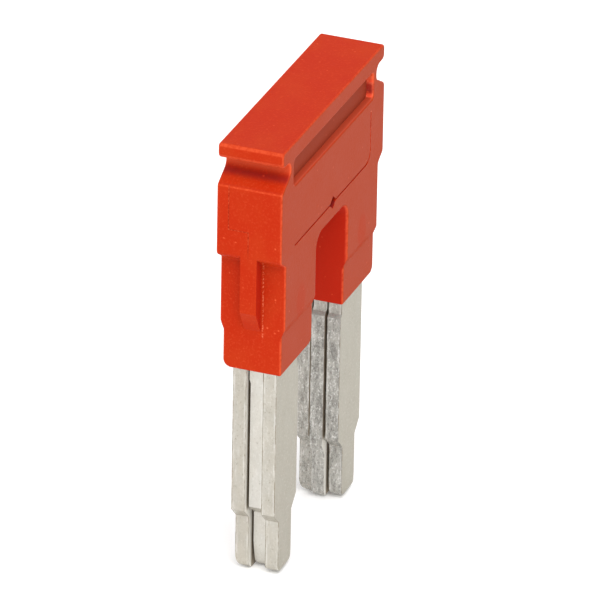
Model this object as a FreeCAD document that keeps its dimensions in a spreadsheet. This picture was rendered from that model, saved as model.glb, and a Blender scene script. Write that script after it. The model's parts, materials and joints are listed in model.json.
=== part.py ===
import FreeCAD, Part
import Sketcher
import math
import os

# Two-way jumper bar for screw terminals: three stamped conductor combs moulded into one insulating grip.
# X runs from leg to leg, Y through the thickness, and Z from the blade tips up to the grip plate.

os.makedirs("parts", exist_ok=True)
doc = FreeCAD.newDocument("jumper_bar")

ALONG_X = FreeCAD.Vector(1, 0, 0)
ALONG_Y = FreeCAD.Vector(0, 1, 0)
ALONG_Z = FreeCAD.Vector(0, 0, 1)
TOUCH = 0.01

# Driving sizes in millimetres, each one free to change by itself
SIZES = {
    # Whole part
    "pitch": 12.0,
    "blade_reach": 15.9,
    "housing_height": 16.8,
    # Ends of the housing, from the top plate down
    "lip_inset": 0.12,
    "lip_height": 1.1,
    "lip_radius": 0.26,
    "lip_under_radius": 0.42,
    "groove_depth": 1.53,
    "groove_height": 0.95,
    "groove_radius": 0.56,
    "ramp_height": 0.88,
    "block_drop": 8.05,
    "block_step": 0.89,
    "block_slope": 0.55,
    "block_radius": 0.36,
    "rib_width": 1.17,
    "rib_foot": 4.7,
    "rib_slope": 1.6,
    # Shrouds around the blades
    "end_wall": 0.66,
    "side_wall": 0.49,
    "step_depth": 0.24,
    "step_height": 3.55,
    "step_slope": 0.6,
    "notch_wall": 1.09,
    "crown_height": 8.95,
    "notch_radius": 1.05,
    "entry_radius": 0.58,
    "outline_radius": 0.15,
    "notch_edge_radius": 0.22,
    "shroud_edge_radius": 0.15,
    # Finger pocket below the top plate, on both faces
    "pocket_drop": 1.3,
    "pocket_end_wall": 0.65,
    "pocket_height": 1.9,
    "pocket_depth": 0.52,
    "pocket_radius": 0.3,
    "pocket_lip_radius": 0.18,
    # Engraved frame line with its centre mark
    "line_margin": 2.48,
    "line_width": 0.14,
    "line_depth": 0.06,
    "line_drop": 7.75,
    "line_rise": 3.7,
    "line_radius": 0.9,
    "mark_width": 1.2,
    "mark_height": 0.95,
    "mark_depth": 0.24,
    # Conductor combs
    "sheet": 0.96,
    "sheet_gap": 0.12,
    "mould_clearance": 0.03,
    "notch_roof": 1.2,
    "web_height": 3.0,
    "web_radius": 0.8,
    "leg_width": 4.02,
    "throat_relief": 0.22,
    "throat_drop": 1.65,
    "throat_slope": 0.24,
    "nose_length": 4.95,
    "nose_width": 2.3,
    "nose_radius": 0.62,
    "shoulder_height": 0.85,
    "lead_height": 0.35,
    "lead_depth": 0.12,
    # Middle comb, which leans on a different neighbour in each leg
    "middle_trim": 0.27,
    "middle_lift": 0.28,
    "middle_drop": 0.6,
    "middle_shift": 0.4,
    "middle_taper": 0.4,
    "taper_height": 2.1,
    "joggle": 0.085,
    "joggle_drop": 1.1,
    "joggle_height": 0.3,
}

# Heights above the blade tips, and places across the legs, that several pieces share
BASE = "blade_reach"
TOP = "( blade_reach + housing_height )"
WEB_LOW = "( blade_reach + housing_height - crown_height + notch_roof )"
WEB_TOP = "( blade_reach + housing_height - crown_height + notch_roof + web_height )"
LEG_IN = "( pitch / 2 - leg_width / 2 )"
LEG_OUT = "( pitch / 2 + leg_width / 2 )"
NOSE_IN = "( pitch / 2 - nose_width / 2 )"
NOSE_OUT = "( pitch / 2 + nose_width / 2 )"
STACK_HALF = "( sheet * 1.5 + sheet_gap )"
NOTCH_SIDE = "( pitch / 2 - leg_width / 2 - notch_wall )"
SHROUD_END = "( pitch / 2 + leg_width / 2 + end_wall )"
BLOCK_END = "( pitch / 2 + leg_width / 2 + end_wall + block_step )"
GROOVE_END = "( pitch / 2 + leg_width / 2 + end_wall + block_step - groove_depth )"
SHROUD_FACE = "( sheet * 1.5 + sheet_gap + mould_clearance + side_wall )"
GRIP_FACE = "( sheet * 1.5 + sheet_gap + mould_clearance + side_wall + step_depth )"


def fill_spreadsheet():
    """Writes every size into a cell that carries the size's own name."""
    cells = doc.addObject("Spreadsheet::Sheet", "Sizes")
    for row, (name, value) in enumerate(SIZES.items(), start=1):
        cells.set(f"A{row}", name)
        cells.set(f"B{row}", str(value))
        cells.setAlias(f"B{row}", name)
    doc.recompute()


def bound(formula):
    """Points each size name in a formula at its spreadsheet cell."""
    words = formula.split()
    return " ".join(f"Sizes.{word}" if word in SIZES else word for word in words)


def origin_item(body, role):
    """Finds the body's own origin plane or axis with this role."""
    return next(item for item in body.Origin.OriginFeatures if item.Role == role)


def new_body(name):
    """Adds an empty body whose label names its exported file."""
    body = doc.addObject("PartDesign::Body", name)
    body.Label = name
    return body


def new_sketch(body, name, plane, lift=None):
    """Adds a sketch on one of the body's origin planes, lifted along its normal where asked."""
    sketch = body.newObject("Sketcher::SketchObject", name)
    sketch.AttachmentSupport = [(origin_item(body, plane), "")]
    sketch.MapMode = "FlatFace"
    if lift:
        sketch.setExpression("AttachmentOffset.Base.z", bound(lift))
    return sketch


def mirrored(corners):
    """Reflects corners to the negative side, in the reverse order."""
    return [(f"-( {across} )", up) for across, up in reversed(corners)]


def outline(sketch, corners):
    """Draws a closed outline whose corners are held at formulas of the sizes."""
    count = len(corners)
    first_line = sketch.GeometryCount
    ring = [2 * math.pi * index / count for index in range(count + 1)]
    rough = [FreeCAD.Vector(math.cos(angle), math.sin(angle), 0) for angle in ring]
    for start, end in zip(rough, rough[1:]):
        sketch.addGeometry(Part.LineSegment(start, end), False)
    for index, (across, up) in enumerate(corners):
        line = first_line + index
        following = first_line + (index + 1) % count
        sketch.addConstraint(Sketcher.Constraint("Coincident", line, 2, following, 1))
        for kind, formula in (("DistanceX", across), ("DistanceY", up)):
            number = sketch.addConstraint(Sketcher.Constraint(kind, -1, 1, line, 1, 1.0))
            sketch.setExpression(f"Constraints[{number}]", bound(formula))
    doc.recompute()


def pad(body, name, sketch, length, both_ways=False):
    """Pads a sketch by a formula of the sizes."""
    feature = body.newObject("PartDesign::Pad", name)
    feature.Profile = sketch
    feature.setExpression("Length", bound(length))
    feature.Midplane = both_ways
    doc.recompute()
    return feature


def pocket(body, name, sketch, length, both_ways=False):
    """Cuts a sketch's outline out of the body by a formula of the sizes."""
    feature = body.newObject("PartDesign::Pocket", name)
    feature.Profile = sketch
    feature.setExpression("Length", bound(length))
    feature.Midplane = both_ways
    doc.recompute()
    return feature


def straight_edges(feature, direction, is_wanted):
    """Names the straight edges along a direction whose middle point is wanted."""
    names = []
    for number, edge in enumerate(feature.Shape.Edges, start=1):
        start = edge.Vertexes[0].Point
        run = edge.Vertexes[-1].Point - start
        middle = start + run * 0.5
        is_along = abs(run.dot(direction)) > run.Length - TOUCH / 10
        if run.Length > TOUCH / 10 and is_along and is_wanted(middle):
            names.append(f"Edge{number}")
    return names


def fillet(body, name, feature, edges, radius):
    """Rounds edges of a feature by a size."""
    rounded = body.newObject("PartDesign::Fillet", name)
    rounded.Base = (feature, edges)
    rounded.setExpression("Radius", bound(radius))
    doc.recompute()
    return rounded


def solved(sketch, corners, name):
    """Returns where a named corner of an outline lies, as distances across and up."""
    point = sketch.Geometry[list(corners).index(name)].StartPoint
    return abs(point.x), point.y


def corner_edges(feature, sketch, corners, wanted):
    """Names the edges through the feature at the wanted corners of its profile, on both sides."""
    places = [solved(sketch, corners, name) for name in wanted]

    def is_wanted(middle):
        return any(math.hypot(abs(middle.x) - x, middle.z - z) < TOUCH for x, z in places)

    return straight_edges(feature, ALONG_Y, is_wanted)


# Insulating housing

END_CORNERS = {
    "plate": (f"{BLOCK_END} - lip_inset", TOP),
    "lip": (f"{BLOCK_END} - lip_inset", f"{TOP} - lip_height"),
    "groove": (GROOVE_END, f"{TOP} - lip_height"),
    "ramp": (GROOVE_END, f"{TOP} - lip_height - groove_height"),
    "block": (BLOCK_END, f"{TOP} - lip_height - groove_height - ramp_height"),
    "foot": (BLOCK_END, f"{TOP} - block_drop"),
    "slope": (SHROUD_END, f"{TOP} - block_drop - block_slope"),
    "base": (SHROUD_END, BASE),
    "mouth": (NOTCH_SIDE, BASE),
    "notch": (NOTCH_SIDE, f"{TOP} - crown_height"),
}

STEP_CORNERS = {
    "grip": (GRIP_FACE, f"{BASE} + step_height"),
    "shroud": (SHROUD_FACE, f"{BASE} + step_height - step_slope"),
    "low": (SHROUD_FACE, f"{BASE} - step_height"),
    "low_outside": (f"{GRIP_FACE} * 2", f"{BASE} - step_height"),
    "outside": (f"{GRIP_FACE} * 2", f"{BASE} + step_height"),
}


def face_outline(feature, sketch, corners, first, last):
    """Names the straight edges of the profile between two corners, on both broad faces."""
    names = list(corners)
    chain = names[names.index(first):names.index(last) + 1]
    places = [solved(sketch, corners, name) for name in chain]
    face = feature.Shape.BoundBox.YMax

    def is_on_chain(edge):
        middle = (edge.Vertexes[0].Point + edge.Vertexes[-1].Point) * 0.5
        if abs(abs(middle.y) - face) > TOUCH:
            return False
        spot = FreeCAD.Vector(abs(middle.x), 0, middle.z)
        for start, end in zip(places, places[1:]):
            run = Part.LineSegment(FreeCAD.Vector(start[0], 0, start[1]), FreeCAD.Vector(end[0], 0, end[1]))
            if run.toShape().distToShape(Part.Vertex(spot))[0] < TOUCH:
                return True
        return False

    return [f"Edge{number}" for number, edge in enumerate(feature.Shape.Edges, start=1) if is_on_chain(edge)]


def housing_profile(body):
    """Pads the end-to-end profile and rounds its lips, grooves and notch, then both outlines."""
    sketch = new_sketch(body, "HousingProfile", "XZ_Plane")
    right = list(END_CORNERS.values())
    outline(sketch, right + mirrored(right))
    feature = pad(body, "HousingPad", sketch, f"{GRIP_FACE} * 2", both_ways=True)
    frame_line(body)
    feature = body.Tip
    roundings = (
        ("GrooveRounding", ("groove", "ramp"), "groove_radius"),
        ("BlockRounding", ("block", "foot", "slope"), "block_radius"),
        ("NotchRounding", ("notch",), "notch_radius"),
        ("LipRounding", ("plate",), "lip_radius"),
        ("LipUnderRounding", ("lip",), "lip_under_radius"),
    )
    for name, wanted, radius in roundings:
        edges = corner_edges(feature, sketch, END_CORNERS, wanted)
        feature = fillet(body, name, feature, edges, radius)
    edges = face_outline(feature, sketch, END_CORNERS, "plate", "base")
    feature = fillet(body, "OutlineRounding", feature, edges, "outline_radius")
    edges = face_outline(feature, sketch, END_CORNERS, "mouth", "notch")
    fillet(body, "NotchEdgeRounding", feature, edges, "notch_edge_radius")
    return sketch


def housing_steps(body):
    """Thins the shrouds on both broad faces below a sloped step."""
    sketch = new_sketch(body, "ShroudStep", "YZ_Plane")
    right = list(STEP_CORNERS.values())
    outline(sketch, right)
    outline(sketch, mirrored(right))
    pocket(body, "ShroudStepPocket", sketch, f"{BLOCK_END} * 4", both_ways=True)
    return sketch


def housing_ribs(body):
    """Adds the centre rib that runs down each end face and fades out."""
    sketch = new_sketch(body, "EndRib", "XZ_Plane")
    right = [
        (LEG_OUT, f"{TOP} - block_drop + block_slope"),
        (BLOCK_END, f"{TOP} - block_drop + block_slope"),
        (BLOCK_END, f"{BASE} + rib_foot"),
        (SHROUD_END, f"{BASE} + rib_foot - rib_slope"),
        (LEG_OUT, f"{BASE} + rib_foot - rib_slope"),
    ]
    outline(sketch, right)
    outline(sketch, mirrored(right))
    pad(body, "EndRibPad", sketch, "rib_width", both_ways=True)


def finger_pockets(body):
    """Sinks the long finger pocket into both broad faces."""
    sketch = new_sketch(body, "FingerPocketOutline", "XZ_Plane", lift=GRIP_FACE)
    right = [
        (f"{GROOVE_END} - pocket_end_wall", f"{TOP} - pocket_drop"),
        (f"{GROOVE_END} - pocket_end_wall", f"{TOP} - pocket_drop - pocket_height"),
    ]
    outline(sketch, right + mirrored(right))
    cut = pocket(body, "FingerPocket", sketch, "pocket_depth")
    both = body.newObject("PartDesign::Mirrored", "FingerPockets")
    both.Originals = [cut]
    both.MirrorPlane = (origin_item(body, "XZ_Plane"), [""])
    body.Tip = both
    doc.recompute()
    end = sketch.Geometry[0].StartPoint.x
    top = sketch.Geometry[0].StartPoint.y
    low = sketch.Geometry[1].StartPoint.y

    def is_pocket_corner(middle):
        at_end = abs(abs(middle.x) - end) < TOUCH
        return at_end and min(abs(middle.z - top), abs(middle.z - low)) < TOUCH

    def is_lower_rim(middle):
        at_face = abs(abs(middle.y) - both.Shape.BoundBox.YMax) < TOUCH
        return at_face and abs(middle.z - low) < TOUCH

    edges = straight_edges(both, ALONG_Y, is_pocket_corner)
    rounded = fillet(body, "PocketRounding", both, edges, "pocket_radius")
    edges = straight_edges(rounded, ALONG_X, is_lower_rim)
    fillet(body, "PocketLipRounding", rounded, edges, "pocket_lip_radius")


def frame_line(body):
    """Engraves the thin line below the label field, which turns up at its right end."""
    sketch = new_sketch(body, "FrameLineOutline", "XZ_Plane", lift=GRIP_FACE)
    low = f"{TOP} - line_drop"
    corners = [
        (f"line_margin - {BLOCK_END}", low),
        (f"{BLOCK_END} - line_margin", low),
        (f"{BLOCK_END} - line_margin", f"{low} + line_rise"),
        (f"{BLOCK_END} - line_margin - line_width", f"{low} + line_rise"),
        (f"{BLOCK_END} - line_margin - line_width", f"{low} + line_width"),
        (f"line_margin - {BLOCK_END}", f"{low} + line_width"),
    ]
    outline(sketch, corners)
    feature = pocket(body, "FrameLine", sketch, "line_depth")
    outer = sketch.Geometry[1].StartPoint
    inner = sketch.Geometry[4].StartPoint
    for name, point, radius in (
        ("LineInnerTurn", inner, "line_radius - line_width"),
        ("LineOuterTurn", outer, "line_radius"),
    ):
        def is_turn(middle, point=point):
            return math.hypot(middle.x - point.x, middle.z - point.y) < TOUCH

        feature = fillet(body, name, feature, straight_edges(feature, ALONG_Y, is_turn), radius)


def centre_mark(body):
    """Sinks the diamond-shaped mark in the middle of the frame line."""
    sketch = new_sketch(body, "CentreMarkOutline", "XZ_Plane", lift=GRIP_FACE)
    level = f"{TOP} - line_drop + line_width / 2"
    corners = [
        ("mark_width / 2", level),
        ("0", f"{level} - mark_height / 2"),
        ("-( mark_width / 2 )", level),
        ("0", f"{level} + mark_height / 2"),
    ]
    outline(sketch, corners)
    pocket(body, "CentreMark", sketch, "mark_depth")


def conductor_cavity(body):
    """Opens the room that the three combs fill, out through both shrouds."""
    sketch = new_sketch(body, "CavityOutline", "XZ_Plane")
    right = [
        (f"{LEG_OUT} + mould_clearance", f"{WEB_TOP} + mould_clearance"),
        (f"{LEG_OUT} + mould_clearance", f"{BASE} - step_height"),
        (f"{LEG_IN} + throat_relief - mould_clearance", f"{BASE} - step_height"),
        (f"{LEG_IN} + throat_relief - mould_clearance", f"{WEB_LOW} - mould_clearance"),
    ]
    outline(sketch, right + mirrored(right))
    width = f"{STACK_HALF} * 2 + mould_clearance * 2"
    pocket(body, "ConductorCavity", sketch, width, both_ways=True)


def housing_edges(body, profile, steps):
    """Rounds the entry edges of the shrouds on their right and far sides, then the upright corners."""
    shroud_end, base = solved(profile, END_CORNERS, "base")
    notch_side = solved(profile, END_CORNERS, "mouth")[0]
    shroud_face = solved(steps, STEP_CORNERS, "shroud")[0]
    right_sides = (shroud_end, -notch_side)

    def is_right_entry(middle):
        on_side = any(abs(middle.x - side) < TOUCH for side in right_sides)
        return on_side and abs(middle.z - base) < TOUCH

    def is_far_entry(middle):
        return abs(middle.y - shroud_face) < TOUCH and abs(middle.z - base) < TOUCH

    def is_shroud_corner(middle):
        at_end = min(abs(abs(middle.x) - shroud_end), abs(abs(middle.x) - notch_side)) < TOUCH
        return at_end and abs(abs(middle.y) - shroud_face) < TOUCH

    edges = straight_edges(body.Tip, ALONG_Y, is_right_entry)
    edges += straight_edges(body.Tip, ALONG_X, is_far_entry)
    fillet(body, "EntryRounding", body.Tip, edges, "entry_radius")
    edges = straight_edges(body.Tip, ALONG_Z, is_shroud_corner)
    fillet(body, "ShroudRounding", body.Tip, edges, "shroud_edge_radius")


def insulating_housing():
    """Moulded grip with two shrouds, a notch between them and the room for the combs."""
    body = new_body("insulating_housing")
    profile = housing_profile(body)
    steps = housing_steps(body)
    housing_ribs(body)
    finger_pockets(body)
    centre_mark(body)
    housing_edges(body, profile, steps)
    conductor_cavity(body)
    return body


# Conductor combs

OUTER_COMB = {
    "web": (LEG_OUT, WEB_TOP),
    "outer_shoulder": (LEG_OUT, "nose_length"),
    "outer_nose": (NOSE_OUT, "nose_length - shoulder_height"),
    "outer_tip": (NOSE_OUT, "0"),
    "inner_tip": (NOSE_IN, "0"),
    "inner_nose": (NOSE_IN, "nose_length - shoulder_height"),
    "inner_shoulder": (LEG_IN, "nose_length"),
    "throat": (LEG_IN, f"{BASE} - throat_drop"),
    "relief": (f"{LEG_IN} + throat_relief", f"{BASE} - throat_drop + throat_slope"),
    "crotch": (f"{LEG_IN} + throat_relief", WEB_LOW),
}

MIDDLE_COMB = {
    "web": (f"{LEG_OUT} - middle_trim", WEB_TOP),
    "outer_shoulder": (f"{LEG_OUT} - middle_trim", "nose_length + middle_lift"),
    "outer_nose": (f"{NOSE_OUT} - middle_shift", "nose_length + middle_lift - shoulder_height"),
    "taper": (f"{NOSE_OUT} - middle_shift", "taper_height"),
    "outer_tip": (f"{NOSE_OUT} - middle_shift - middle_taper", "0"),
    "inner_tip": (f"{NOSE_IN} - middle_shift", "0"),
    "inner_nose": (f"{NOSE_IN} - middle_shift", "nose_length - middle_drop - shoulder_height"),
    "inner_shoulder": (LEG_IN, "nose_length - middle_drop"),
    "throat": (LEG_IN, f"{BASE} - throat_drop"),
    "relief": (f"{LEG_IN} + throat_relief", f"{BASE} - throat_drop + throat_slope"),
    "crotch": (f"{LEG_IN} + throat_relief", WEB_LOW),
}


def comb_blank(body, corners, thickness, lift=None):
    """Pads a comb outline and rounds its web corners and blade tips."""
    both_ways = lift is None
    sketch = new_sketch(body, f"{body.Name}_outline", "XZ_Plane", lift)
    right = list(corners.values())
    outline(sketch, right + mirrored(right))
    blank = pad(body, f"{body.Name}_blank", sketch, thickness, both_ways)
    webs = corner_edges(blank, sketch, corners, ("web",))
    rounded = fillet(body, f"{body.Name}_web_rounding", blank, webs, "web_radius")
    tips = corner_edges(rounded, sketch, corners, ("outer_tip", "inner_tip"))
    fillet(body, f"{body.Name}_tip_rounding", rounded, tips, "nose_radius")


def lead_in(body):
    """Bevels the outer face of both blade tips for easy entry."""
    sketch = new_sketch(body, f"{body.Name}_lead_in", "YZ_Plane")
    corners = [
        (f"-{STACK_HALF}", "lead_height"),
        (f"-{STACK_HALF} + lead_depth", "0"),
        (f"-{STACK_HALF} + lead_depth", "-( lead_height )"),
        (f"-{STACK_HALF} - lead_depth", "-( lead_height )"),
        (f"-{STACK_HALF} - lead_depth", "lead_height"),
    ]
    outline(sketch, corners)
    pocket(body, f"{body.Name}_lead_in_cut", sketch, "pitch * 3", both_ways=True)


def outer_comb(name, turn):
    """Flat stamped comb on one side of the stack, turned about the upright axis."""
    body = new_body(name)
    comb_blank(body, OUTER_COMB, "sheet", lift="sheet / 2 + sheet_gap")
    lead_in(body)
    body.Placement = FreeCAD.Placement(FreeCAD.Vector(), FreeCAD.Rotation(ALONG_Z, turn))
    return body


def joggled_sheet(name):
    """Sheet bent sideways below the housing, one way on each side of the middle."""
    body = new_body(name)
    sketch = new_sketch(body, f"{name}_section", "YZ_Plane")
    bend = f"{BASE} - joggle_drop"
    corners = [
        ("-( sheet / 2 )", TOP),
        ("-( sheet / 2 )", bend),
        ("-( sheet / 2 ) + joggle", f"{bend} - joggle_height"),
        ("-( sheet / 2 ) + joggle", "-( lead_height )"),
        ("sheet / 2 + joggle", "-( lead_height )"),
        ("sheet / 2 + joggle", f"{bend} - joggle_height"),
        ("sheet / 2", bend),
        ("sheet / 2", TOP),
    ]
    outline(sketch, corners)
    half = pad(body, f"{name}_half", sketch, "pitch")
    both = body.newObject("PartDesign::PolarPattern", f"{name}_halves")
    both.Originals = [half]
    both.Axis = (origin_item(body, "Z_Axis"), [""])
    both.Angle = 360
    both.Occurrences = 2
    body.Tip = both
    doc.recompute()
    return body


def middle_comb():
    """Middle comb: its outline taken out of the joggled sheet."""
    blank = new_body("middle_comb_outline")
    comb_blank(blank, MIDDLE_COMB, f"{GRIP_FACE} * 2")
    bent = joggled_sheet("middle_comb_sheet")
    comb = doc.addObject("Part::Common", "middle_comb")
    comb.Label = "middle_comb"
    comb.Base = bent
    comb.Tool = blank
    doc.recompute()
    return comb


def export(part):
    """Checks one finished piece and writes its STEP file."""
    shape = part.Shape
    if shape.isNull() or not shape.isValid() or not shape.Solids:
        raise RuntimeError(f"{part.Label} has no valid solid")
    shape.exportStep(f"parts/{part.Label}.step")
    print(part.Label, len(shape.Solids), round(shape.Volume, 2), shape.BoundBox)


fill_spreadsheet()
pieces = [
    insulating_housing(),
    outer_comb("near_comb", 0),
    middle_comb(),
    outer_comb("far_comb", 180),
]
doc.recompute()
for item in doc.Objects:
    if "Invalid" in item.State or "Error" in item.State:
        raise RuntimeError(f"{item.Name} did not compute")
for piece in pieces:
    export(piece)
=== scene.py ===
import json
import math

import bmesh
import bpy
from bpy.props import FloatProperty, FloatVectorProperty, PointerProperty
from mathutils import Matrix, Vector

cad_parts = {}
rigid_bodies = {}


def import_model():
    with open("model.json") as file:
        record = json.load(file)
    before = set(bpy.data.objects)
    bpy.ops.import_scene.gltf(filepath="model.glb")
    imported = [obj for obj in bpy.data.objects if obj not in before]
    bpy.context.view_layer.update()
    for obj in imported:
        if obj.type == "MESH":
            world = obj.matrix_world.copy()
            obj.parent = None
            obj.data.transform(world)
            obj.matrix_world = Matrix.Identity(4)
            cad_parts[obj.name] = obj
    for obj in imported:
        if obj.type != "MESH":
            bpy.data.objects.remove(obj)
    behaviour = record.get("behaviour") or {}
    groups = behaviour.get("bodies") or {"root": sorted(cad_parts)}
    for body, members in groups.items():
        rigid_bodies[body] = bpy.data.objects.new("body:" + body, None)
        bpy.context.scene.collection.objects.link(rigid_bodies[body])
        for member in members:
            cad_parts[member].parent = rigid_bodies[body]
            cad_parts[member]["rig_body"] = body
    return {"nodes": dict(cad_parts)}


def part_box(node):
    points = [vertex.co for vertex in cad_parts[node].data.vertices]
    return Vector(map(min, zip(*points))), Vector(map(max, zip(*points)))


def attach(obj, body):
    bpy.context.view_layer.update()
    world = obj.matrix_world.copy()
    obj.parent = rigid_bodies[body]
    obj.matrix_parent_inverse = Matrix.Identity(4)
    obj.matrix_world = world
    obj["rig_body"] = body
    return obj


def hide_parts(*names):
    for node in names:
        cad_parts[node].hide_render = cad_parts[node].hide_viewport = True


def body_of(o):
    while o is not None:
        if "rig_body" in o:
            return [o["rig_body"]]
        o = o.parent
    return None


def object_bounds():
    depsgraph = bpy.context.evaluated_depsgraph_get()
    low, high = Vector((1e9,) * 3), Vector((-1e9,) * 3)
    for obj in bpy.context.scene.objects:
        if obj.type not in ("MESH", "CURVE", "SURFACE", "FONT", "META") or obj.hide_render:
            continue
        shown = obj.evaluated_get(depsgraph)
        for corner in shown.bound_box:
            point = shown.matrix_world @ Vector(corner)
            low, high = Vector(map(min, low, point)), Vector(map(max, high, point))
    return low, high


bl_info = {
    "name": "Jumper Bar Finishes",
    "version": (1, 0, 0),
    "blender": (4, 5, 0),
    "location": "View3D > Sidebar > Jumper Bar",
    "description": "Finishes and stage for a two-way terminal block jumper bar",
    "category": "Material",
}

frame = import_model()
CAD_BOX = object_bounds()

MM = 0.001
HOUSING = "insulating_housing"
COMBS = ("near_comb", "middle_comb", "far_comb")

# Places that the finishes follow, in millimetres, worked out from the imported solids
HOUSING_LOW, HOUSING_HIGH = (Vector(corner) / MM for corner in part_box(HOUSING))
COMB_LOW, COMB_HIGH = (Vector(corner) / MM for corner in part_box(COMBS[0]))
PLATE_TOP = HOUSING_HIGH.z
SHROUD_BASE = HOUSING_LOW.z
BLOCK_END = HOUSING_HIGH.x
GRIP_FACE = HOUSING_HIGH.y
SHEET_INSIDE, SHEET_OUTSIDE = -COMB_HIGH.y, -COMB_LOW.y
LEG_END = COMB_HIGH.x
MIDDLE_END, MIDDLE_SIDE = (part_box(COMBS[1])[1][axis] / MM for axis in (0, 1))

# Heights and sides of the marks on the housing
SEAM_JOG = SHROUD_BASE + 10.7
SEAM_UPPER, SEAM_LOWER = 1.46, 0.05
NOTCH_LIMIT = 4.2
SINK_HEIGHT, SINK_SIDE = SHROUD_BASE + 4.4, 5.7
RIB_MIDDLE, RIB_LIMIT, RIB_FOOT = SHROUD_BASE + 5.6, 1.1, 0.74
POCKET_LIMIT = 7.5
PLATE_UNDERSIDE = PLATE_TOP - 1.6
POCKET_MIDDLE = PLATE_TOP - 2.25
GROOVE_MIDDLE = PLATE_TOP - 2.5
BEND_HEIGHT = PLATE_TOP - 2.75
CREST_HEIGHT = PLATE_TOP - 2.98
LINE_MIDDLE = PLATE_TOP - 6.1
UPRIGHT_MIDDLE, UPRIGHT_SIDE = PLATE_TOP - 5.55, BLOCK_END - 2.55

# Heights at which the shoulders of the blades start and end, and where the torn edges begin
SHOULDER_TOP, SHOULDER_FOOT = 5.1, 4.6
THROAT = SHROUD_BASE - 1.3

# Sides of the noses, beyond which one layer stands out from the next
NOSE_OUTSIDE, NOSE_INSIDE = LEG_END - 1.45, LEG_END - 3.1

# Rounding of the blade tips, in millimetres: depth and height on the -Y and +Y sides of each sheet
TIP_ROUNDING = {
    "near_comb": ((0.0, 0.3), (0.32, 0.4)),
    "middle_comb": ((0.2, 0.3), (0.62, 0.6)),
    "far_comb": ((0.0, 0.3), (0.64, 1.1)),
}
TIP_NARROWING = 0.36
TIP_LIFT = {"near_comb": 0.14, "middle_comb": 0.04, "far_comb": 0.0}
TIP_HEIGHT = 1.2
TIP_CUTS = (0.03, 0.09, 0.18, 0.3, 0.44, 0.6, 0.79, 1.0)

# Studio, in metres
FLOOR_REACH = 3.0
KEY_PLACE = (-0.95, -0.47, 1.72)
KEY_SIZE = 1.5


class Level:
    """A number that varies over a surface; arithmetic on it adds the Math nodes."""

    def __init__(self, finish, socket):
        self.finish = finish
        self.socket = socket

    def math(self, operation, *values):
        """Adds a Math node that works on the values."""
        settings = {"operation": operation}
        return self.finish.node("ShaderNodeMath", settings, dict(enumerate(values))).level(0)

    def __add__(self, other):
        return self.math("ADD", self, other)

    def __radd__(self, other):
        return self.math("ADD", other, self)

    def __sub__(self, other):
        return self.math("SUBTRACT", self, other)

    def __rsub__(self, other):
        return self.math("SUBTRACT", other, self)

    def __mul__(self, other):
        return self.math("MULTIPLY", self, other)

    def __truediv__(self, other):
        return self.math("DIVIDE", self, other)

    def __abs__(self):
        return self.math("ABSOLUTE", self)

    def sign(self):
        return self.math("SIGN", self)

    def ramp(self, start, stop):
        """Rises smoothly from 0 at start to 1 at stop, or falls where start is the larger."""
        inputs = {"Value": self, "From Min": min(start, stop), "From Max": max(start, stop)}
        settings = {"interpolation_type": "SMOOTHSTEP"}
        rise = self.finish.node("ShaderNodeMapRange", settings, inputs).level("Result")
        return rise if stop > start else 1.0 - rise

    def band(self, centre, half, soft):
        """Is 1 within half of the centre, and fades out over soft."""
        return abs(self - centre).ramp(half + soft, half)


class Node:
    """One shader node, whose outputs are read as numbers or as colours and vectors."""

    def __init__(self, finish, node):
        self.finish = finish
        self.node = node

    def level(self, name):
        return Level(self.finish, self.node.outputs[name])

    def out(self, name):
        return self.node.outputs[name]


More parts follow.
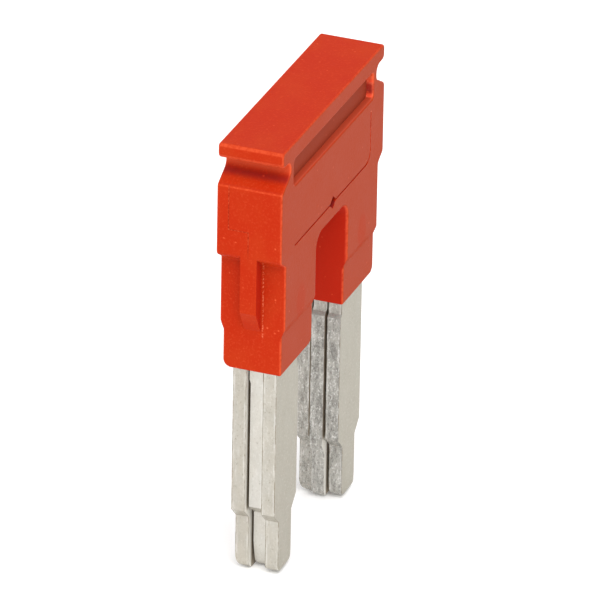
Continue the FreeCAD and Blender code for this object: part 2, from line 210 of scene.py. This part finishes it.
class Finish:
    """The node tree of one material, with the part's own millimetres as its coordinates."""

    def __init__(self, name):
        self.material = bpy.data.materials.new(name)
        self.material.use_nodes = True
        self.tree = self.material.node_tree
        self.tree.nodes.clear()
        place = self.node("ShaderNodeTexCoord").out("Object")
        self.place = self.vector("SCALE", place, Scale=1 / MM)
        split = self.node("ShaderNodeSeparateXYZ", None, {0: self.place})
        self.x, self.y, self.z = (split.level(axis) for axis in "XYZ")
        facing = self.node("ShaderNodeNewGeometry").out("Normal")
        split = self.node("ShaderNodeSeparateXYZ", None, {0: facing})
        self.facing_x, self.facing_y, self.facing_z = (split.level(axis) for axis in "XYZ")

    def feed(self, socket, value):
        """Links a socket to what drives it, or sets its value."""
        value = value.socket if isinstance(value, Level) else value
        if isinstance(value, bpy.types.NodeSocket):
            self.tree.links.new(value, socket)
        else:
            socket.default_value = value

    def node(self, kind, settings=None, inputs=None):
        """Adds a node with its settings and its inputs."""
        node = self.tree.nodes.new(kind)
        for name, value in (settings or {}).items():
            setattr(node, name, value)
        for name, value in (inputs or {}).items():
            self.feed(node.inputs[name], value)
        return Node(self, node)

    def vector(self, operation, first, second=None, **inputs):
        """Applies a vector operation."""
        inputs[0] = first
        if second is not None:
            inputs[1] = second
        return self.node("ShaderNodeVectorMath", {"operation": operation}, inputs).out("Vector")

    def mix(self, factor, first, second):
        """Mixes two colours."""
        settings = {"data_type": "RGBA", "clamp_factor": True}
        inputs = {0: factor, 6: colour(first), 7: colour(second)}
        return self.node("ShaderNodeMix", settings, inputs).out(2)

    def noise(self, size, detail=2.0, roughness=0.5, stretch=(1, 1, 1)):
        """Cloudy noise between 0 and 1, whose blotches measure size millimetres."""
        place = self.vector("MULTIPLY", self.place, stretch)
        inputs = {"Vector": place, "Scale": 1 / size, "Detail": detail, "Roughness": roughness}
        return self.node("ShaderNodeTexNoise", {"normalize": True}, inputs).level(0)

    def cells(self, size, stretch=(1, 1, 1)):
        """Distance to the nearest scattered point, in cells of size millimetres."""
        place = self.vector("MULTIPLY", self.place, stretch)
        inputs = {"Vector": place, "Scale": 1 / size}
        return self.node("ShaderNodeTexVoronoi", None, inputs).level("Distance")

    def surface(self, base, roughness, height, bump_distance, metallic=0.0, **constants):
        """Ends the tree in a shader that takes colour, roughness and a height in millimetres."""
        inputs = {"Height": height, "Distance": bump_distance * MM, "Strength": 1.0}
        bump = self.node("ShaderNodeBump", None, inputs).out("Normal")
        inputs = {"Base Color": base, "Roughness": roughness, "Metallic": metallic, "Normal": bump}
        shader = self.node("ShaderNodeBsdfPrincipled", None, inputs)
        for name, value in constants.items():
            shader.node.inputs[name.replace("_", " ")].default_value = value
        end = self.node("ShaderNodeOutputMaterial")
        self.feed(end.node.inputs["Surface"], shader.out("BSDF"))
        return self.material


def colour(value):
    """Adds the alpha that a colour socket needs to a plain triple, and leaves a socket as it is."""
    return value if isinstance(value, bpy.types.NodeSocket) else (*value, 1.0)


def scaled(tone, share):
    """Makes a colour darker or lighter."""
    return tuple(part * share for part in tone)


def give(name, material):
    """Puts one material on all the faces of a solid."""
    for slot in frame["nodes"][name].material_slots:
        slot.material = material


class HousingSettings(bpy.types.PropertyGroup):
    """Colours and texture of the moulded housing."""

    body: FloatVectorProperty(name="Body colour", description="Moulded plastic away from its marks",
                              default=(0.475, 0.023, 0.003), size=3, subtype="COLOR", min=0, max=1)
    pale: FloatVectorProperty(name="Pale colour", description="Plastic under slight stress",
                              default=(0.51, 0.046, 0.008), size=3, subtype="COLOR", min=0, max=1)
    # Painted sheen and shade: a paler, less red colour on the broad faces stands in for their grazing sheen
    # and weaker light
    broad: FloatVectorProperty(name="Broad face colour", description="Chalky plastic of the broad faces",
                               default=(0.385, 0.0385, 0.0045), size=3, subtype="COLOR", min=0, max=1)
    # Painted shade: a darker colour on the rougher pocket floors; scaled paler, it is painted light on
    # their lower walls
    matt_painted_tone: FloatVectorProperty(name="Pocket floor colour", description="Dull plastic of the pocket floors",
                              default=(0.29, 0.044, 0.020), size=3, subtype="COLOR", min=0, max=1)
    # Painted light: a bright colour on the end walls of the pockets stands in for light falling on them
    lit: FloatVectorProperty(name="Pocket end colour", description="Smooth plastic at the pocket ends",
                             default=(1.0, 0.11, 0.05), size=3, subtype="COLOR", min=0, max=1)
    # Painted shade: a deeper red for the notch walls and the recesses beside the end ribs
    inner: FloatVectorProperty(name="Notch colour", description="Plastic on the walls of the notch",
                               default=(0.45, 0.017, 0.006), size=3, subtype="COLOR", min=0, max=1)
    # Painted shade: a dark red for the depth of the end grooves, the bend below them and the engraved line
    # and its mark
    deep: FloatVectorProperty(name="Groove colour", description="Plastic in the depth of the grooves",
                              default=(0.27, 0.017, 0.016), size=3, subtype="COLOR", min=0, max=1)
    spark: FloatVectorProperty(name="Fleck colour", description="Bright grains on raised lines",
                               default=(0.95, 0.26, 0.13), size=3, subtype="COLOR", min=0, max=1)
    # Pale grain and flecks, and also painted highlights on rounded edges, on the block's upper edge and
    # under the plate in the grooves
    rim: FloatVectorProperty(name="Rubbed colour", description="Rubbed edges and flecks",
                             default=(0.78, 0.11, 0.04), size=3, subtype="COLOR", min=0, max=1)
    roughness: FloatProperty(name="Roughness", description="Gloss of the moulded faces",
                             default=0.45, min=0, max=1, subtype="FACTOR")
    grain: FloatProperty(name="Grain size", description="Width of the eroded texture in millimetres",
                         default=0.16, min=0.01, soft_max=1)
    grain_height: FloatProperty(name="Grain height", description="Height of the texture in millimetres",
                                default=0.010, min=0, soft_max=0.1)


class BladeSettings(bpy.types.PropertyGroup):
    """Colours and texture of the tinned combs."""

    plating: FloatVectorProperty(name="Plating colour", description="Tin plating on the broad faces",
                                 default=(0.53, 0.50, 0.435), size=3, subtype="COLOR", min=0, max=1)
    shadow: FloatVectorProperty(name="Pit colour", description="Pits and dull patches on the sheared edges",
                                default=(0.14, 0.13, 0.12), size=3, subtype="COLOR", min=0, max=1)
    # Bright grains and lines, and also painted highlights beside the sheared sides
    bright: FloatVectorProperty(name="Burnished colour", description="Bright grains on the sheared edges",
                                default=(0.82, 0.81, 0.78), size=3, subtype="COLOR", min=0, max=1)
    # Painted light on the faces between the layers where one layer stands out beyond the next
    clean: FloatVectorProperty(name="Clean colour", description="Unworn plating between the layers",
                               default=(0.80, 0.775, 0.71), size=3, subtype="COLOR", min=0, max=1)
    cool: FloatVectorProperty(name="Cool colour", description="Patches of plating with a cooler tint",
                              default=(0.53, 0.515, 0.472), size=3, subtype="COLOR", min=0, max=1)
    # Painted shade: a darker plating colour on the broad faces of the sheets for the weaker light on them
    face: FloatVectorProperty(name="Face colour", description="Plating on the broad faces of the sheets",
                              default=(0.372, 0.349, 0.287), size=3, subtype="COLOR", min=0, max=1)
    # Painted shade deep between the layers; the same colour tints the far comb's edges
    gap: FloatVectorProperty(name="Gap colour", description="Dull film deep between the layers",
                             default=(0.31, 0.255, 0.185), size=3, subtype="COLOR", min=0, max=1)
    # Matt metal on the upward shoulders, painted a pale greenish grey that offsets the red reflection of
    # the housing
    matt_painted_tone: FloatVectorProperty(name="Shoulder colour", description="Matt metal on the inner shoulders",
                              default=(0.40, 0.46, 0.42), size=3, subtype="COLOR", min=0, max=1)
    tarnish: FloatVectorProperty(name="Tarnish colour", description="Brown lines along the sheared sides",
                                 default=(0.20, 0.16, 0.10), size=3, subtype="COLOR", min=0, max=1)
    roughness: FloatProperty(name="Roughness", description="Gloss of the plating",
                             default=0.46, min=0, max=1, subtype="FACTOR")


class StageSettings(bpy.types.PropertyGroup):
    """Camera, floor and light."""

    azimuth: FloatProperty(name="Azimuth", description="Direction of the camera around the part",
                           default=math.radians(-69.341), subtype="ANGLE")
    elevation: FloatProperty(name="Elevation", description="Height angle of the camera",
                             default=math.radians(26.552), subtype="ANGLE")
    roll: FloatProperty(name="Roll", description="Tilt of the picture",
                        default=math.radians(1.046), subtype="ANGLE")
    distance: FloatProperty(name="Distance", description="Camera to the point it looks at",
                            default=0.6667, unit="LENGTH")
    lens: FloatProperty(name="Lens", description="Focal length in millimetres", default=594.6, min=1)
    drop: FloatProperty(name="Aim drop", description="How far below the plate's top the camera looks",
                        default=0.01417, unit="LENGTH")
    aim: FloatVectorProperty(name="Aim offset", description="Sideways and upward shift of the aim point",
                             default=(0.0000649, -0.0011344), size=2)
    floor: FloatVectorProperty(name="Floor colour", description="Plain pale floor",
                               default=(0.97, 0.97, 0.97), size=3, subtype="COLOR", min=0, max=1)
    glow: FloatProperty(name="Floor glow", description="Light that comes through the white floor",
                        default=0.1, min=0)
    sky: FloatProperty(name="Surround", description="Strength of the white surround",
                       default=0.82, min=0)
    key: FloatProperty(name="Key light", description="Power of the large light on the left",
                       default=28.0, min=0)


def housing_material(settings):
    """Red moulded plastic with an eroded grain, fine pale flecks, mould seams and sink marks."""
    finish = Finish("housing_plastic")
    body = settings.body

    # Slow clouds of colour, and flecks where the grain breaks through
    clouds = finish.noise(2.4, detail=3)
    grain = finish.noise(settings.grain, detail=3, roughness=0.6)
    flecks = finish.cells(0.62).ramp(0.16, 0.07) * finish.noise(0.9).ramp(0.5, 0.62)
    base = finish.mix(clouds.ramp(0.35, 0.75) * 0.4, body, settings.pale)
    base = finish.mix(grain.ramp(0.5, 0.72) * 0.18, base, settings.rim)

    # Painted sheen and shade: the broad faces get a paler, less red colour for their grazing sheen and
    # weaker light, less of it on the slope above the shrouds
    on_end = abs(finish.facing_x).ramp(0.5, 0.8)
    on_face = abs(finish.facing_y).ramp(0.7, 0.9) * abs(finish.y).ramp(1.0, 1.2)
    slope = on_face * finish.facing_z.ramp(-0.15, -0.3)
    base = finish.mix(on_face * (1.0 - slope * 0.1), base, settings.broad)

    # Seam where the mould halves met: off centre on the block, in the middle of the rib below
    above = finish.z.ramp(SEAM_JOG - 0.02, SEAM_JOG + 0.02)
    upper = finish.y.band(SEAM_UPPER, 0.03, 0.03) * above
    lower = finish.y.band(SEAM_LOWER, 0.02, 0.03) * (1.0 - above)
    lower = lower * finish.z.ramp(SEAM_JOG - 2.4, SEAM_JOG - 0.9)
    step = finish.y.band((SEAM_UPPER + SEAM_LOWER) / 2, (SEAM_UPPER - SEAM_LOWER) / 2, 0.02)
    across = finish.z.band(SEAM_JOG, 0.02, 0.03) * step
    seam = (upper + lower + across) * on_end * finish.z.ramp(PLATE_TOP - 2.6, PLATE_TOP - 3.0)
    grainy = finish.noise(0.14, detail=2).ramp(0.4, 0.62)
    base = finish.mix(seam * 0.5, base, scaled(body, 0.5))
    base = finish.mix(seam * grainy * 0.4, base, settings.rim)

    # Painted shade: deeper red inside the notch and beside the end ribs, where shade falls
    inner = abs(finish.x).ramp(NOTCH_LIMIT, NOTCH_LIMIT - 0.1) * abs(finish.facing_x).ramp(0.5, 0.8)
    beside_rib = abs(finish.facing_y).ramp(0.5, 0.8) * abs(finish.y).ramp(RIB_LIMIT, RIB_LIMIT - 0.1)
    base = finish.mix((inner + beside_rib) * 0.8, base, settings.inner)

    # Faint stadium-shaped marks where the plastic shrank over the blades
    side = abs(finish.x) - SINK_SIDE
    rise = (finish.z - SINK_HEIGHT) / 1.6
    sink = (side * side + rise * rise).ramp(0.9, 0.3) * on_face
    base = finish.mix(sink * 0.22, base, body)

    # Finger pockets: painted shade on the rougher floor, painted light on the walls, brightest on the end
    # walls, which also get bright flecks
    in_pocket = finish.z.band(POCKET_MIDDLE, 0.98, 0.04)
    in_pocket = in_pocket * abs(finish.x).ramp(POCKET_LIMIT, POCKET_LIMIT - 0.05)
    in_pocket = in_pocket * abs(finish.y).band(GRIP_FACE - 0.4, 0.33, 0.05)
    floor = in_pocket * on_face
    wall = in_pocket * (1.0 - on_face) * finish.facing_z.ramp(-0.5, 0.1)
    base = finish.mix(floor * 0.9, base, settings.matt_painted_tone)
    base = finish.mix(wall * (1.0 - on_end) * 0.9, base, scaled(settings.matt_painted_tone, 1.7))
    base = finish.mix(wall * on_end, base, settings.lit)
    chips = wall * on_end * finish.noise(0.24, detail=2).ramp(0.5, 0.6)
    base = finish.mix(chips * 0.6, base, settings.spark)

    # End grooves: painted light under the plate, and painted shade in their depth
    groove = abs(finish.x).ramp(BLOCK_END - 0.6, BLOCK_END - 1.2)
    groove = groove * abs(finish.facing_x).ramp(0.2, 0.5)
    under_plate = groove * finish.z.ramp(PLATE_TOP - 2.2, PLATE_TOP - 1.7)
    base = finish.mix(under_plate * 0.6, base, settings.rim)
    groove = groove * finish.z.band(GROOVE_MIDDLE, 0.15, 0.4)
    base = finish.mix(groove * 0.8, base, settings.deep)

    # Painted highlight along the upper edge of the block, broken by noise, and painted shade in the bend
    # above it
    bend = on_end * finish.z.band(BEND_HEIGHT, 0.06, 0.12)
    base = finish.mix(bend * 0.35, base, settings.deep)
    crest = on_end * finish.z.band(CREST_HEIGHT, 0.03, 0.05)
    crest = crest * (0.45 + finish.noise(0.2, detail=2).ramp(0.48, 0.6) * 0.55)
    base = finish.mix(crest * 0.5, base, settings.rim)

    # Engraved line and its mark, with painted shade in their depth, and grain broken bright along the
    # upright part
    cut = finish.y.band(0.42 - GRIP_FACE, 0.375, 0.02) * finish.z.band(LINE_MIDDLE, 2.1, 0.05)
    cut = cut * abs(finish.x).ramp(BLOCK_END - 2.3, BLOCK_END - 2.4)
    mark = finish.x.band(0.0, 0.45, 0.05)
    base = finish.mix(cut * (on_face * 0.5 * (1.0 - mark) + mark * 0.9), base, settings.deep)
    upright = finish.x.band(UPRIGHT_SIDE, 0.075, 0.03) * finish.z.band(UPRIGHT_MIDDLE, 1.5, 0.1)
    upright = upright * on_face * finish.y.ramp(0.2 - GRIP_FACE, 0.1 - GRIP_FACE)
    upright = upright * finish.noise(0.22, detail=1).ramp(0.47, 0.55)
    base = finish.mix(upright * 0.75, base, settings.spark)

    # Flecked line along the foot of each end rib
    turned = finish.y * finish.x.sign()
    foot = turned.band(RIB_FOOT, 0.03, 0.04) * on_end * finish.z.band(RIB_MIDDLE, 2.7, 0.4)
    foot = foot * finish.noise(0.14, detail=2).ramp(0.44, 0.58)
    base = finish.mix(foot * 0.5, base, settings.spark)

    # Painted highlights on the rounded edges, broken by noise, and pale flecks
    end, face, flat = abs(finish.facing_x), abs(finish.facing_y), abs(finish.facing_z)
    on_plate = finish.z.ramp(PLATE_UNDERSIDE, PLATE_TOP - 1.1)
    edge = end * face + (face + end) * flat * on_plate
    edge_highlight = edge.ramp(0.12, 0.42) * finish.noise(0.22, detail=3).ramp(0.15, 0.62)
    along = face * flat * on_plate
    base = finish.mix(edge_highlight * (0.5 - along * 0.6), base, settings.rim)
    base = finish.mix(flecks * (0.3 + on_end * 0.4), base, settings.rim)

    roughness = settings.roughness + (clouds - 0.5) * 0.10 + (grain - 0.5) * 0.16 + sink * 0.05
    roughness = roughness + floor * 0.2 + slope * 0.2 - edge_highlight * 0.12
    height = grain * settings.grain_height - seam * 0.012 + flecks * 0.008
    return finish.surface(base, roughness, height, 1.0, IOR=1.13)


def blade_material(settings):
    """Dull tin plating, smooth on the faces and speckled where the punch tore the inner edges."""
    finish = Finish("tinned_metal")
    plating, cool, bright = settings.plating, settings.cool, settings.bright

    # Broad faces: soft clouds drawn out along the blade, with a few fine rubbed lines
    clouds = finish.noise(0.8, detail=4, roughness=0.62, stretch=(1, 1, 0.55))
    lines = finish.noise(0.22, detail=2, stretch=(1, 1, 0.16))
    base = finish.mix(clouds.ramp(0.3, 0.75) * 0.7, plating, scaled(plating, 0.86))
    tint = finish.noise(0.9, detail=3, stretch=(1, 1, 0.45))
    base = finish.mix(tint.ramp(0.42, 0.62) * 0.4, base, cool)
    base = finish.mix(lines.ramp(0.58, 0.75) * 0.18, base, bright)

    depth = abs(finish.y)
    on_sheet = abs(finish.facing_y).ramp(0.6, 0.9)
    # Painted shade: the broad faces of the sheets get a darker plating colour for the weaker light on them
    base = finish.mix(on_sheet * 0.8, base, settings.face)
    mottle = finish.noise(0.13, detail=3, roughness=0.6, stretch=(1, 1, 0.7))
    base = finish.mix(mottle.ramp(0.45, 0.32) * 0.22, base, bright)
    base = finish.mix(mottle.ramp(0.6, 0.7) * 0.45, base, settings.tarnish)

    # Faces between the layers: painted light where one layer stands out beyond the next, and painted shade
    # deeper in, where they are also less metallic
    reach = abs(finish.x)
    nose = finish.z.ramp(SHOULDER_TOP, SHOULDER_FOOT)
    open_part = reach.ramp(MIDDLE_END - 0.14, MIDDLE_END - 0.06) * (1.0 - nose)
    open_part = open_part + reach.ramp(NOSE_OUTSIDE, NOSE_OUTSIDE + 0.09) * nose
    open_part = open_part + reach.ramp(NOSE_INSIDE, NOSE_INSIDE - 0.06) * nose
    between = on_sheet * depth.ramp(SHEET_OUTSIDE - 0.3, SHEET_OUTSIDE - 0.4)
    base = finish.mix(between, base, finish.mix(open_part, settings.gap, settings.clean))

    # Inner edges: torn by the punch below the throat, so pitted and sparkling
    inward = (finish.x.sign() * finish.facing_x).ramp(-0.3, -0.6)
    torn = inward * (0.6 + finish.z.ramp(THROAT, THROAT - 0.3) * 0.4)
    streaks = finish.noise(0.26, detail=3, stretch=(1, 1, 0.3))
    speckle = finish.noise(0.11, detail=3, roughness=0.6, stretch=(1, 1, 0.7))
    pits = (speckle + streaks * 0.4).ramp(0.68, 0.54)
    sparks = finish.noise(0.12, detail=2, roughness=0.6, stretch=(1, 1, 0.7))
    sparks = (sparks + streaks * 0.4).ramp(0.74, 0.86)
    edge = finish.mix(streaks.ramp(0.35, 0.65), scaled(cool, 0.72), scaled(cool, 0.93))
    edge = finish.mix(nose * 0.3, edge, cool)
    edge = finish.mix(pits * 0.52, edge, settings.shadow)
    edge = finish.mix(sparks * 0.6, edge, bright)
    base = finish.mix(torn, base, edge)

    # The far comb's edges are tinted a little browner than the others
    far = finish.y.ramp(SHEET_INSIDE - 0.03, SHEET_INSIDE) * (1.0 - on_sheet)
    base = finish.mix(far * 0.12, base, settings.gap)

    # Sheared edges: painted highlights beside their long sides, broken by noise, with a thin dark line of
    # burr on them
    sheared = abs(finish.facing_x).ramp(0.5, 0.8)
    sides = depth.band(SHEET_INSIDE + 0.1, 0.02, 0.07) + depth.band(SHEET_OUTSIDE - 0.1, 0.02, 0.07)
    sides = sides + depth.band(MIDDLE_SIDE - 0.1, 0.02, 0.09)
    rim = sides * sheared * finish.noise(0.7, detail=3, stretch=(1, 1, 0.4)).ramp(0.42, 0.62)
    base = finish.mix(rim * 0.35, base, bright)
    burr = depth.ramp(SHEET_OUTSIDE - 0.07, SHEET_OUTSIDE - 0.03) + depth.band(SHEET_INSIDE, 0.03, 0.03)
    burr = burr * sheared * finish.noise(0.3, detail=3, stretch=(1, 1, 0.5)).ramp(0.36, 0.6)
    base = finish.mix(burr * 0.7, base, settings.tarnish)

    # Dark joint where the middle comb lies against its neighbour
    touching = (finish.y * finish.x.sign()).ramp(-0.1, 0.1) * sheared
    joint = touching * depth.band(SHEET_INSIDE - 0.018, 0.032, 0.02)
    joint = joint * (0.55 + finish.noise(0.4, detail=3, stretch=(1, 1, 0.5)).ramp(0.35, 0.6) * 0.45)
    base = finish.mix(joint * 0.85, base, settings.tarnish)

    # Shoulders of the inner edges: less metallic, and painted a pale greenish grey that offsets the red
    # reflection of the housing
    shoulder = inward * finish.facing_z.ramp(0.2, 0.5)
    base = finish.mix(shoulder * 0.8, base, settings.matt_painted_tone)

    # Outer edges of the middle comb, a little brighter than their neighbours
    middle = depth.ramp(SHEET_INSIDE - 0.03, SHEET_INSIDE - 0.06) * sheared * (1.0 - inward)
    base = finish.mix(middle * 0.22, base, bright)

    metallic = 1.0 - between * 0.9 - shoulder * 0.8
    roughness = settings.roughness + (clouds - 0.5) * 0.16 + torn * (speckle - 0.45) * 0.5
    height = clouds * 0.006 + lines * 0.002 + torn * (sparks - pits) * 0.018
    return finish.surface(base, roughness, height, 1.0, metallic=metallic)


def floor_material(settings):
    """Plain pale floor."""
    finish = Finish("plain_floor")
    clouds = finish.noise(40.0)
    base = finish.mix(clouds * 0.1, settings.floor, (1.0, 1.0, 1.0))
    glow = {"Emission_Color": (1, 1, 1, 1), "Emission_Strength": settings.glow}
    return finish.surface(base, 0.7 + clouds * 0.05, clouds * 0.01, 1.0, **glow)


class JUMPER_OT_housing(bpy.types.Operator):
    """Gives the moulded housing its red plastic"""

    bl_idname = "jumper.housing"
    bl_label = "Finish the housing"

    def execute(self, context):
        give(HOUSING, housing_material(context.scene.jumper_housing))
        return {"FINISHED"}


def arc(above, height):
    """How far an elliptic arc has drawn in, from 0 at its height to 1 at the tip."""
    fall = 1.0 - min(above / (height * MM), 1.0)
    return 1.0 - math.sqrt(max(1.0 - fall * fall, 0.0))


def span_at(work, side, level, axis):
    """Lowest and highest coordinate of one leg at a height where the mesh has been cut."""
    leg = [vertex.co for vertex in work.verts if vertex.co.x * side > 0]
    found = [place[axis] for place in leg if abs(place.z - level) < 0.01 * MM]
    return min(found), max(found)


def round_leg(work, side, rounding, lift):
    """Draws the sides and edges of one blade in towards its tip along elliptic arcs."""
    tip = min(vertex.co.z for vertex in work.verts if vertex.co.x * side > 0)
    top = tip + TIP_HEIGHT * MM
    (_, first_height), (_, second_height) = rounding
    for height in sorted({first_height, second_height, TIP_HEIGHT}):
        for cut in TIP_CUTS:
            level = (0.0, 0.0, tip + height * cut * MM)
            everything = [*work.verts, *work.edges, *work.faces]
            bmesh.ops.bisect_plane(work, geom=everything, plane_co=level, plane_no=(0, 0, 1))
    ends = span_at(work, side, tip, 1), span_at(work, side, top, 1)
    centre = sum(span_at(work, side, top, 0)) / 2
    for vertex in work.verts:
        if vertex.co.x * side < 0 or vertex.co.z >= top:
            continue
        above = vertex.co.z - tip
        share = above / (top - tip)
        low, high = (first + (last - first) * share for first, last in zip(*ends))
        place = min(max((vertex.co.y - low) / (high - low), 0.0), 1.0)
        for (depth, height), weight in zip(rounding, (1.0 - place, -place)):
            vertex.co.y += weight * depth * MM * arc(above, height)
        drawn_in = arc(above, TIP_HEIGHT)
        vertex.co.x = centre + (vertex.co.x - centre) * (1.0 - TIP_NARROWING * drawn_in)
        vertex.co.z += lift * MM * drawn_in


def add_comb(name, material):
    """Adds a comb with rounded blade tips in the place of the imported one."""
    node = frame["nodes"][name]
    work = bmesh.new()
    work.from_mesh(node.data)
    bmesh.ops.remove_doubles(work, verts=work.verts, dist=0.0001 * MM)
    for side in (-1, 1):
        round_leg(work, side, TIP_ROUNDING[name], TIP_LIFT[name])
    mesh = bpy.data.meshes.new(name + "_rounded")
    work.to_mesh(mesh)
    work.free()
    if "custom_normal" in mesh.attributes:
        mesh.attributes.remove(mesh.attributes["custom_normal"])
    for polygon in mesh.polygons:
        polygon.use_smooth = 0.02 < abs(polygon.normal.y) < 0.98 and polygon.center.z < 2.0 * MM
    mesh.set_sharp_from_angle(angle=math.radians(35))
    mesh.materials.append(material)
    comb = bpy.data.objects.new(name + "_rounded", mesh)
    bpy.context.scene.collection.objects.link(comb)
    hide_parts(name)
    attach(comb, body_of(node)[0])


class JUMPER_OT_blades(bpy.types.Operator):
    """Rounds the blade tips and gives the three stamped combs their tin plating"""

    bl_idname = "jumper.blades"
    bl_label = "Finish the blades"

    def execute(self, context):
        material = blade_material(context.scene.jumper_blades)
        for name in COMBS:
            add_comb(name, material)
        return {"FINISHED"}


def camera_axes(settings):
    """Returns the camera's right, up and back directions."""
    azimuth, elevation, roll = settings.azimuth, settings.elevation, settings.roll
    back = Vector((math.sin(azimuth) * math.cos(elevation),
                   -math.cos(azimuth) * math.cos(elevation),
                   math.sin(elevation)))
    right = Vector((math.cos(azimuth), math.sin(azimuth), 0))
    up = back.cross(right)
    turned_right = right * math.cos(roll) + up * math.sin(roll)
    turned_up = up * math.cos(roll) - right * math.sin(roll)
    return turned_right, turned_up, back


def add_camera(settings):
    """Places the camera at the photograph's viewing angle."""
    right, up, back = camera_axes(settings)
    aim = Vector((0, 0, PLATE_TOP * MM - settings.drop)) + right * settings.aim[0] + up * settings.aim[1]
    data = bpy.data.cameras.new("camera")
    data.lens = settings.lens
    data.sensor_fit = "HORIZONTAL"
    data.clip_start = 0.01
    camera = bpy.data.objects.new("camera", data)
    bpy.context.scene.collection.objects.link(camera)
    turn = Matrix((right, up, back)).transposed().to_4x4()
    camera.matrix_world = Matrix.Translation(aim + back * settings.distance) @ turn
    bpy.context.scene.camera = camera


def add_floor(settings):
    """Lays the floor at the height of the blade tips."""
    data = bpy.data.meshes.new("floor")
    low = CAD_BOX[0][2]
    signs = ((-1, -1), (1, -1), (1, 1), (-1, 1))
    corners = [(x * FLOOR_REACH, y * FLOOR_REACH, low) for x, y in signs]
    data.from_pydata(corners, [], [(0, 1, 2, 3)])
    floor = bpy.data.objects.new("floor", data)
    bpy.context.scene.collection.objects.link(floor)
    data.materials.append(floor_material(settings))


def add_light(name, place, size, power, target):
    """Adds a square soft light that looks at a target."""
    data = bpy.data.lights.new(name, "AREA")
    data.shape = "SQUARE"
    data.size = size
    data.energy = power
    light = bpy.data.objects.new(name, data)
    bpy.context.scene.collection.objects.link(light)
    light.location = place
    light.rotation_euler = (Vector(target) - Vector(place)).to_track_quat("-Z", "Y").to_euler()


def add_surround(strength):
    """Fills the surroundings with even white light."""
    world = bpy.data.worlds.new("surround")
    world.use_nodes = True
    background = world.node_tree.nodes["Background"]
    background.inputs["Color"].default_value = (1, 1, 1, 1)
    background.inputs["Strength"].default_value = strength
    bpy.context.scene.world = world


class JUMPER_OT_stage(bpy.types.Operator):
    """Adds the floor, the soft studio light and the camera"""

    bl_idname = "jumper.stage"
    bl_label = "Set the stage"

    def execute(self, context):
        settings = context.scene.jumper_stage
        context.scene.view_settings.view_transform = "Standard"
        add_floor(settings)
        add_surround(settings.sky)
        middle = (0, 0, PLATE_TOP * MM / 2)
        add_light("key", KEY_PLACE, KEY_SIZE, settings.key, middle)
        add_camera(settings)
        return {"FINISHED"}


class JUMPER_PT_panel(bpy.types.Panel):
    """Lists the finishes and the stage"""

    bl_idname = "JUMPER_PT_panel"
    bl_label = "Jumper Bar"
    bl_space_type = "VIEW_3D"
    bl_region_type = "UI"
    bl_category = "Jumper Bar"

    def draw(self, context):
        for operator in OPERATORS:
            self.layout.operator(operator.bl_idname)


SETTINGS = {
    "jumper_housing": HousingSettings,
    "jumper_blades": BladeSettings,
    "jumper_stage": StageSettings,
}
OPERATORS = (JUMPER_OT_housing, JUMPER_OT_blades, JUMPER_OT_stage)


def register():
    for name, group in SETTINGS.items():
        bpy.utils.register_class(group)
        setattr(bpy.types.Scene, name, PointerProperty(type=group))
    for operator in OPERATORS:
        bpy.utils.register_class(operator)
    bpy.utils.register_class(JUMPER_PT_panel)


def unregister():
    bpy.utils.unregister_class(JUMPER_PT_panel)
    for operator in reversed(OPERATORS):
        bpy.utils.unregister_class(operator)
    for name, group in reversed(SETTINGS.items()):
        delattr(bpy.types.Scene, name)
        bpy.utils.unregister_class(group)


def main():
    """Finishes the part and sets the stage."""
    register()
    bpy.ops.jumper.housing()
    bpy.ops.jumper.blades()
    bpy.ops.jumper.stage()


if __name__ == "__main__":
    main()
